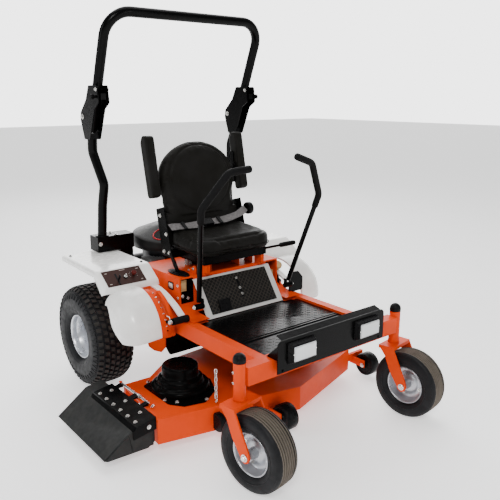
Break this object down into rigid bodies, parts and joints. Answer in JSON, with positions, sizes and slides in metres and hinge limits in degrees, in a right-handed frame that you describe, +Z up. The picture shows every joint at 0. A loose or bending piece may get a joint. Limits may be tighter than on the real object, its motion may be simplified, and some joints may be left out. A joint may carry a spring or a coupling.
{
  "type": "zero turn mower",
  "caption": "Ride-on zero turn mower with side-discharge deck, steering lap bars, folding roll bar, tilting seat and swivelling front casters.",
  "frame": {"origin": "on the ground, at the middle of the whole machine's footprint", "axes": "+Z up, the front of the machine faces -Y, +X is the operator's left"},
  "size_m": [1.612, 1.8272, 1.9499],
  "materials": {
    "orange_paint": "gloss powder coat",
    "black_paint": "gloss powder coat",
    "fender_paint": "satin",
    "panel_brown": "matt",
    "border_grey": "satin",
    "rim_silver": "satin metallic",
    "rim_grey": "satin",
    "tyre_rubber": "matt",
    "mat_rubber": "matt, raised pattern",
    "deflector_rubber": "matt",
    "foam_grip": "matt foam",
    "hard_plastic": "satin",
    "lens_clear": "clear",
    "seat_vinyl": "grained vinyl",
    "belt_web": "woven",
    "steel": "plain",
    "cast_dark": "black engine paint"
  },
  "bodies": {
    "chassis": {"main_frame": "orange_paint", "floor_plate": "black_paint", "kick_plate": "border_grey", "kick_mat": "mat_rubber", "light_panel": "black_paint", "headlight_housing_right": "hard_plastic", "headlight_housing_left": "hard_plastic", "headlight_lens_right": "lens_clear", "headlight_lens_left": "lens_clear", "seat_box": "orange_paint", "fender_right": "fender_paint", "fender_left": "fender_paint", "control_panel": "panel_brown", "height_quadrant": "orange_paint", "rops_post_right": "black_paint", "rops_post_left": "black_paint", "engine_block": "cast_dark", "blower_cover": "hard_plastic", "muffler": "cast_dark", "transaxle_right": "cast_dark", "transaxle_left": "cast_dark"},
    "rops_hoop": {"rops_hoop": "black_paint"},
    "rops_pin_right": {"rops_pin_right": "steel"},
    "rops_pin_left": {"rops_pin_left": "steel"},
    "seat": {"seat_pan": "black_paint", "seat_cushion": "seat_vinyl", "seat_back": "seat_vinyl", "seat_belt": "belt_web"},
    "armrest_right": {"armrest_right": "seat_vinyl"},
    "armrest_left": {"armrest_left": "seat_vinyl"},
    "height_lever": {"height_lever": "hard_plastic"},
    "park_brake_lever": {"park_brake_lever": "black_paint"},
    "throttle_lever": {"throttle_lever": "hard_plastic"},
    "pto_knob": {"pto_knob": "hard_plastic"},
    "deck": {"deck_shell": "orange_paint", "belt_cover_right": "black_paint", "belt_cover_left": "black_paint"},
    "deflector": {"deflector": "deflector_rubber", "deflector_bracket": "black_paint"},
    "anti_scalp_wheel_front": {"anti_scalp_wheel_front": "hard_plastic"},
    "anti_scalp_wheel_left": {"anti_scalp_wheel_left": "hard_plastic"},
    "blade_right": {"blade_spindle_right": "steel"},
    "blade_centre": {"blade_spindle_centre": "steel"},
    "blade_left": {"blade_spindle_left": "steel"},
    "caster_right": {"caster_fork_right": "orange_paint"},
    "caster_wheel_right": {"caster_tyre_right": "tyre_rubber", "caster_rim_right": "rim_grey"},
    "rear_wheel_right": {"rear_tyre_right": "tyre_rubber", "rear_rim_right": "rim_silver"},
    "lap_base_right": {"lap_bar_base_right": "black_paint"},
    "lap_bar_right": {"lap_bar_right": "black_paint", "lap_grip_right": "foam_grip"},
    "caster_left": {"caster_fork_left": "orange_paint"},
    "caster_wheel_left": {"caster_tyre_left": "tyre_rubber", "caster_rim_left": "rim_grey"},
    "rear_wheel_left": {"rear_tyre_left": "tyre_rubber", "rear_rim_left": "rim_silver"},
    "lap_base_left": {"lap_bar_base_left": "black_paint"},
    "lap_bar_left": {"lap_bar_left": "black_paint", "lap_grip_left": "foam_grip"}
  },
  "joints": [
    {"name": "caster_swivel_right", "type": "hinge", "parent": "chassis", "child": "caster_right", "pos_m": [-0.379, -0.6464, 0.43], "axis": [0, 0, 1], "continuous": true},
    {"name": "caster_spin_right", "type": "hinge", "parent": "caster_right", "child": "caster_wheel_right", "pos_m": [-0.36425, -0.74632, 0.166], "axis": [0.9893, 0.1461, 0], "continuous": true},
    {"name": "rear_wheel_spin_right", "type": "hinge", "parent": "chassis", "child": "rear_wheel_right", "pos_m": [-0.43, 0.5756, 0.274], "axis": [1, 0, 0], "continuous": true},
    {"name": "lap_bar_drive_right", "type": "hinge", "parent": "chassis", "child": "lap_base_right", "pos_m": [-0.184, -0.0804, 0.548], "axis": [1, 0, 0], "range_deg": [-12, 12]},
    {"name": "lap_bar_open_right", "type": "hinge", "parent": "lap_base_right", "child": "lap_bar_right", "pos_m": [-0.184, -0.0804, 0.579], "axis": [0, -1, 0], "range_deg": [0, 35]},
    {"name": "rops_pin_pull_right", "type": "slide", "parent": "chassis", "child": "rops_pin_right", "axis": [-1, 0, 0], "range_m": [0, 0.02]},
    {"name": "armrest_fold_right", "type": "hinge", "parent": "seat", "child": "armrest_right", "pos_m": [-0.178, 0.3536, 1.15], "axis": [1, 0, 0], "range_deg": [0, 90]},
    {"name": "caster_swivel_left", "type": "hinge", "parent": "chassis", "child": "caster_left", "pos_m": [0.589, -0.6464, 0.43], "axis": [0, 0, 1], "continuous": true},
    {"name": "caster_spin_left", "type": "hinge", "parent": "caster_left", "child": "caster_wheel_left", "pos_m": [0.60253, -0.74649, 0.166], "axis": [0.991, 0.134, 0], "continuous": true},
    {"name": "rear_wheel_spin_left", "type": "hinge", "parent": "chassis", "child": "rear_wheel_left", "pos_m": [0.64, 0.5756, 0.274], "axis": [1, 0, 0], "continuous": true},
    {"name": "lap_bar_drive_left", "type": "hinge", "parent": "chassis", "child": "lap_base_left", "pos_m": [0.394, -0.0804, 0.548], "axis": [1, 0, 0], "range_deg": [-12, 12]},
    {"name": "lap_bar_open_left", "type": "hinge", "parent": "lap_base_left", "child": "lap_bar_left", "pos_m": [0.394, -0.0804, 0.579], "axis": [0, 1, 0], "range_deg": [0, 35]},
    {"name": "rops_pin_pull_left", "type": "slide", "parent": "chassis", "child": "rops_pin_left", "axis": [1, 0, 0], "range_m": [0, 0.02]},
    {"name": "armrest_fold_left", "type": "hinge", "parent": "seat", "child": "armrest_left", "pos_m": [0.388, 0.3536, 1.15], "axis": [1, 0, 0], "range_deg": [0, 90]},
    {"name": "rops_fold", "type": "hinge", "parent": "chassis", "child": "rops_hoop", "pos_m": [0.105, 0.6456, 1.43], "axis": [-1, 0, 0], "range_deg": [0, 120]},
    {"name": "seat_tilt", "type": "hinge", "parent": "chassis", "child": "seat", "pos_m": [0.105, -0.0024, 0.7175], "axis": [1, 0, 0], "range_deg": [0, 45]},
    {"name": "deck_lift", "type": "slide", "parent": "chassis", "child": "deck", "axis": [0, 0, 1], "range_m": [0, 0.06]},
    {"name": "height_lever_turn", "type": "hinge", "parent": "chassis", "child": "height_lever", "pos_m": [-0.309, 0.1886, 0.41], "axis": [-1, 0, 0], "range_deg": [0, 30]},
    {"name": "blade_spin_right", "type": "hinge", "parent": "deck", "child": "blade_right", "pos_m": [-0.315, -0.1014, 0.075], "axis": [0, 0, 1], "continuous": true},
    {"name": "blade_spin_centre", "type": "hinge", "parent": "deck", "child": "blade_centre", "pos_m": [0.06, -0.2264, 0.075], "axis": [0, 0, 1], "continuous": true},
    {"name": "blade_spin_left", "type": "hinge", "parent": "deck", "child": "blade_left", "pos_m": [0.435, -0.1014, 0.075], "axis": [0, 0, 1], "continuous": true},
    {"name": "deflector_lift", "type": "hinge", "parent": "deck", "child": "deflector", "pos_m": [-0.525, -0.0414, 0.184], "axis": [0, 1, 0], "range_deg": [0, 90]},
    {"name": "anti_scalp_spin_front", "type": "hinge", "parent": "deck", "child": "anti_scalp_wheel_front", "pos_m": [0.005, -0.5014, 0.08], "axis": [1, 0, 0], "continuous": true},
    {"name": "anti_scalp_spin_left", "type": "hinge", "parent": "deck", "child": "anti_scalp_wheel_left", "pos_m": [0.76, -0.3464, 0.08], "axis": [1, 0, 0], "continuous": true},
    {"name": "park_brake", "type": "hinge", "parent": "chassis", "child": "park_brake_lever", "pos_m": [0.367, 0.1536, 0.7], "axis": [-1, 0, 0], "range_deg": [0, 40]},
    {"name": "throttle", "type": "hinge", "parent": "chassis", "child": "throttle_lever", "pos_m": [-0.44, 0.23815, 0.65657], "axis": [1, 0, 0], "range_deg": [-25, 25]},
    {"name": "pto_pull", "type": "slide", "parent": "chassis", "child": "pto_knob", "axis": [0, -0.5845, 0.8114], "range_m": [0, 0.012]}
  ],
  "couplings": [
    {"joint": "height_lever_turn", "follows": "deck_lift", "rad_per_m": 8.7},
    {"joint": "blade_spin_centre", "follows": "blade_spin_right", "ratio": 1},
    {"joint": "blade_spin_left", "follows": "blade_spin_right", "ratio": 1}
  ]
}
